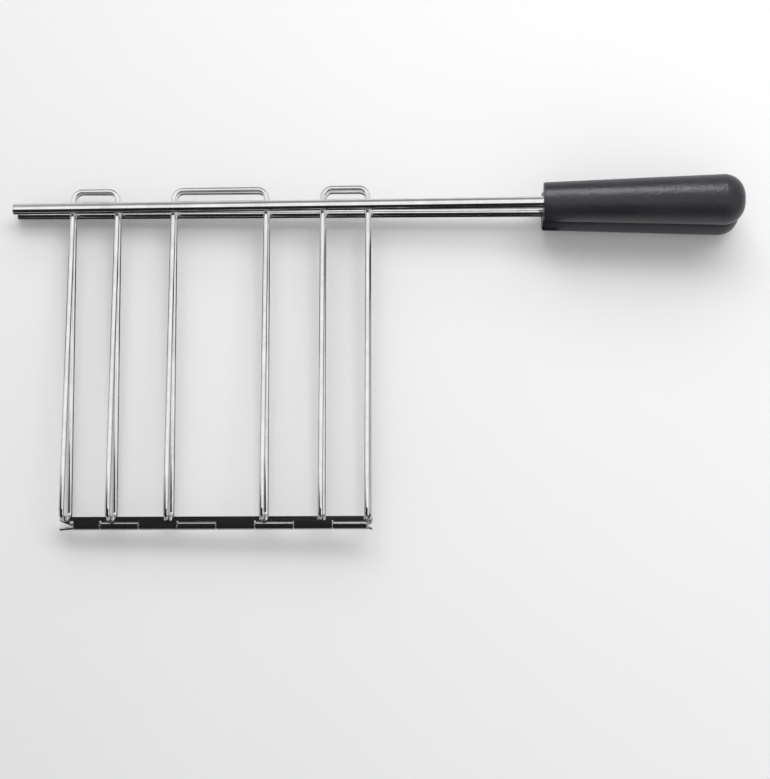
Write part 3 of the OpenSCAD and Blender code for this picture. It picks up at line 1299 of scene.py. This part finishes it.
    def mat(self, name: str, level: float, x: tuple[float, float], y: tuple[float, float], lifts: int = 1) -> Card:
        """Sheet of painted shade that lies on the table and stands in for the table's shade in reflections.

        Args:
            name: its name.
            level: how bright it looks.
            x: its left and right edges.
            y: its far and near edges.
            lifts: height over the table in steps, for one sheet on another.

        Returns:
            The card.
        """
        corners = tuple(self.on_table(u, v, self.shade_sheet_lift * lifts) for v in y for u in x)
        return Card(name, level, corners)

    def cards(self, legs: Sequence[float]) -> list[Card]:
        """Bright ceiling, dark flag on the hinge's side with its curtain, and sheets of painted shade on the table.

        Args:
            legs: place of each leg along X.

        Returns:
            The cards.
        """
        wide = (-self.ceiling_half, self.ceiling_half)
        ceiling = [(x, self.ceiling_near, self.ceiling_z) for x in wide]
        ceiling += [(x, y, self.ceiling_z) for x, y in zip(wide, self.ceiling_far)]
        flag = [(x, y, self.flag_z) for x, y in zip(self.flag_x, self.flag_near)]
        flag += [(x, self.flag_far, z) for z in (self.flag_z, self.table_low()) for x in self.flag_x]
        hung = [
            Card("bright_ceiling", self.ceiling_level, tuple(ceiling)),
            Card("dark_flag", self.flag_and_shade_level, tuple(flag)),
            # Painted shade: these sheets on the table, seen only in reflections, stand in for the shaded table under
            # the rods, the cage and the shanks.
            self.mat("painted_shade_under_rods", self.flag_and_shade_level, self.dark_shade_x, self.dark_shade_y),
            self.mat("painted_shade_under_cage", self.shade_level, self.shade_x, (self.dark_shade_y[1], self.flag_far)),
            self.mat("painted_shade_under_shanks", self.flag_and_shade_level, (self.shade_x[1], self.dark_shade_x[1]), (self.dark_shade_y[1], self.flag_far)),
        ]
        # Painted contact shadows: a dark strip beside each leg, seen only in reflections, stands in for the shade
        # where the legs nearly touch the table.
        along = (self.dark_shade_y[1], self.shade_end)
        for k, x in enumerate(legs):
            hung.append(self.mat(f"leg_shade_{k}", self.flag_and_shade_level, (x, x + self.leg_shade_w), along, 2))
        return hung

    def build(self, matt: Sequence[bpy.types.Object], legs: Sequence[float]) -> None:
        """Set up the table, the light, the room and the cards.

        Args:
            matt: the pieces of the tongs that aren't steel.
            legs: place of each leg along X, in metres in the shared frame.
        """
        table = self.table()
        self.key.build([table])
        self.window.build([table])
        self.grip_lamp.build(matt)
        self.room()
        for card in self.cards(legs):
            card.build()


@dataclass(frozen=True)
class Viewpoint:
    """Camera that looks down at the tongs, with its place in millimetres in the maker's frame."""

    place: tuple[float, float, float] = (165.42, -66.25, 778.39)
    turn_deg: tuple[float, float, float] = (9.0721, 2.0427, -0.0432)
    lens: float = 85.13
    sensor: float = 36.0

    def build(self, layout: Layout) -> None:
        """Make the camera and give it to the scene.

        Args:
            layout: the tongs' sizes, which carry the camera's place into the shared frame.
        """
        data = bpy.data.cameras.new("photographer")
        data.lens = self.lens
        data.sensor_width = self.sensor
        data.clip_start = 0.01
        camera = bpy.data.objects.new("photographer", data)
        camera.location = (Vector(self.place) - layout.middle) * MM
        camera.rotation_euler = [math.radians(a) for a in self.turn_deg]
        bpy.context.scene.collection.objects.link(camera)
        bpy.context.scene.camera = camera


@dataclass
class Tongs:
    """The whole tool: two cage halves on one hinge pin."""

    layout: Layout = field(default_factory=Layout)
    matt: list[bpy.types.Object] = field(default_factory=list)

    def build(self) -> None:
        """Build both halves and dress the hinge pin."""
        wire = DrawnSteel("drawn_cage_wire", (1200.0, 40.0, 1200.0)).build()
        rod = DrawnSteel("drawn_rod_steel", (45.0, 1900.0, 1900.0)).build()
        pin = DrawnSteel("drawn_pin_steel", (60.0, 2600.0, 2600.0), haze=0.25).build()
        sheet = RolledSheet().build()
        weld = WeldSkin().build()
        plastic = MouldedPlastic().build()
        for side in Side:
            HingeLeaf(self.layout, side).build(sheet)
            for place in Place:
                WireLoop(self.layout, side, place).build(wire, weld)
            Rod(self.layout, side).build(rod)
            self.matt.append(Grip(self.layout, side).build(plastic))
        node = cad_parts["hinge_pin"]
        node.data.materials.clear()
        node.data.materials.append(pin)
        LOG.info("hinge_pin: packed node with a new finish")


def corners(box: tuple[Vector, Vector]) -> list[list[float]]:
    """A box's two corners as plain lists."""
    return [[float(v) for v in corner] for corner in box]


def main() -> None:
    """Build the tongs, the studio and the camera."""
    logging.basicConfig(level=logging.INFO, format="%(name)s: %(message)s")
    bpy.context.scene.view_settings.view_transform = "Standard"
    tongs = Tongs()
    tongs.build()
    Studio().build(tongs.matt, tongs.layout.legs())
    Viewpoint().build(tongs.layout)


if __name__ == "__main__":
    main()
